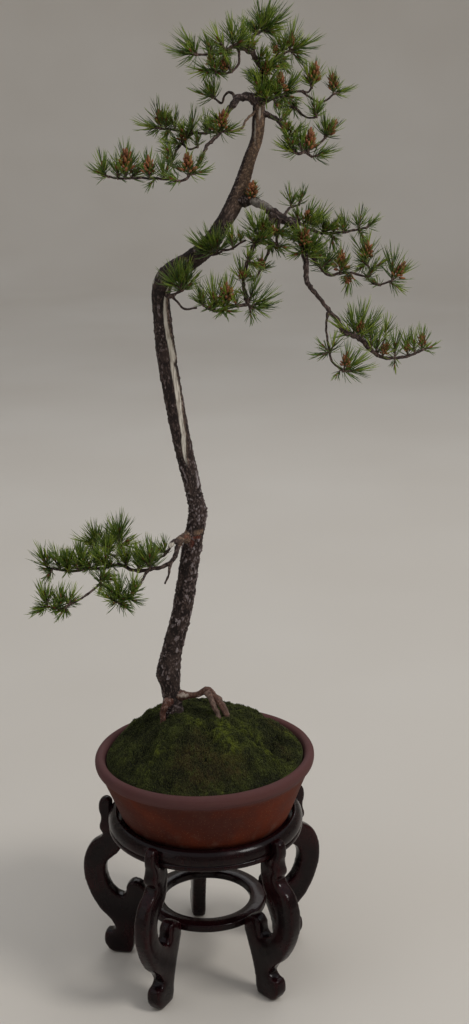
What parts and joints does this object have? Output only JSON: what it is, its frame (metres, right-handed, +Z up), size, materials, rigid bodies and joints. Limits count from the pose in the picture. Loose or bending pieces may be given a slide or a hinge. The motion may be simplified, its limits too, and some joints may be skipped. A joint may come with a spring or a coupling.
{
  "type": "jack pine bonsai",
  "caption": "Tall slender jack pine bonsai in a round unglazed pot, with moss over its soil, on a carved dark wooden stand.",
  "frame": {"origin": "on the floor, under the middle of the whole object's box", "axes": "+Z up; +Y away from the side that the picture shows; +X to the right in the picture"},
  "size_m": [0.5223, 0.3315, 1.2988],
  "materials": {
    "lacquered_wood": "dark red-black lacquer, glossy",
    "terracotta": "unglazed, matte",
    "soil": "loose and dark",
    "moss": "short and dense",
    "bark": "rough and flaky, bare and pale down the front of the trunk",
    "needles": "soft satin",
    "screen_plastic": "matte",
    "wire": "plain"
  },
  "bodies": {
    "root": {"bend_twig": "bark", "drain_screen": "screen_plastic", "hanging_branch": "bark", "lower_left_branch": "bark", "moss_mound": "moss", "needles_apex_centre": "needles", "needles_apex_far_left": "needles", "needles_apex_left": "needles", "needles_apex_loop": "needles", "needles_apex_right": "needles", "needles_apex_top": "needles", "needles_bend_front": "needles", "needles_cascade_end": "needles", "needles_cascade_middle": "needles", "needles_cascade_upper": "needles", "needles_hanging_left": "needles", "needles_hanging_low": "needles", "needles_hanging_right": "needles", "needles_hanging_root": "needles", "needles_hanging_upper": "needles", "needles_lower_left_end": "needles", "needles_lower_left_front": "needles", "needles_lower_left_inner": "needles", "needles_lower_left_low": "needles", "needles_lower_left_middle": "needles", "needles_lower_left_top": "needles", "needles_right_lower": "needles", "needles_right_mid": "needles", "needles_right_middle": "needles", "needles_right_spray_end": "needles", "needles_right_spray_inner": "needles", "needles_right_top": "needles", "needles_right_under": "needles", "needles_right_upper_end": "needles", "needles_thin_twig_end": "needles", "needles_trunk_bend": "needles", "needles_upper_left_end": "needles", "needles_upper_left_far": "needles", "needles_upper_left_front": "needles", "needles_upper_left_inner": "needles", "needles_upper_right_outer": "needles", "pot": "terracotta", "right_lower_branch": "bark", "right_main_branch": "bark", "screen_wire": "wire", "side_twig": "bark", "soil": "soil", "stand_leg_1": "lacquered_wood", "stand_leg_2": "lacquered_wood", "stand_leg_3": "lacquered_wood", "stand_leg_4": "lacquered_wood", "stand_leg_5": "lacquered_wood", "stand_lower_ring": "lacquered_wood", "stand_top_panel": "lacquered_wood", "stand_top_ring": "lacquered_wood", "trunk": "bark", "upper_left_branch": "bark", "upper_right_twigs": "bark"}
  },
  "joints": []
}
